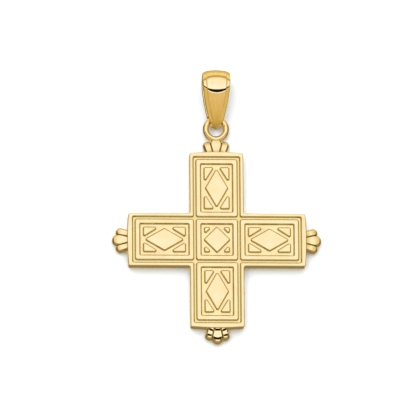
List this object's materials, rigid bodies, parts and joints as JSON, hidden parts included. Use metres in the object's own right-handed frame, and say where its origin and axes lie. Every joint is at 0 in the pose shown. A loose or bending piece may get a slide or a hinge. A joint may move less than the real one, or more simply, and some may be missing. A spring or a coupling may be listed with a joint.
{
  "type": "cross pendant",
  "caption": "Flat gold cross pendant with framed lozenge panels, a shell finial on each arm and a tapered bail that swings on a ring.",
  "frame": {"origin": "middle of the cross's flat back", "axes": "+Z out of the cross's face, +Y along the cross to the bail, +X to the right"},
  "size_m": [0.0244, 0.0323, 0.0032],
  "materials": {
    "gold_cross": "polished yellow gold",
    "gold_bail": "polished yellow gold"
  },
  "bodies": {
    "cross": {"cross": "gold_cross"},
    "bail": {"bail": "gold_bail"}
  },
  "joints": [
    {"name": "bail_swing", "type": "hinge", "parent": "cross", "child": "bail", "pos_m": [0, 0.01435, 0.00092], "axis": [1, 0, 0], "range_deg": [-50, 50]}
  ]
}
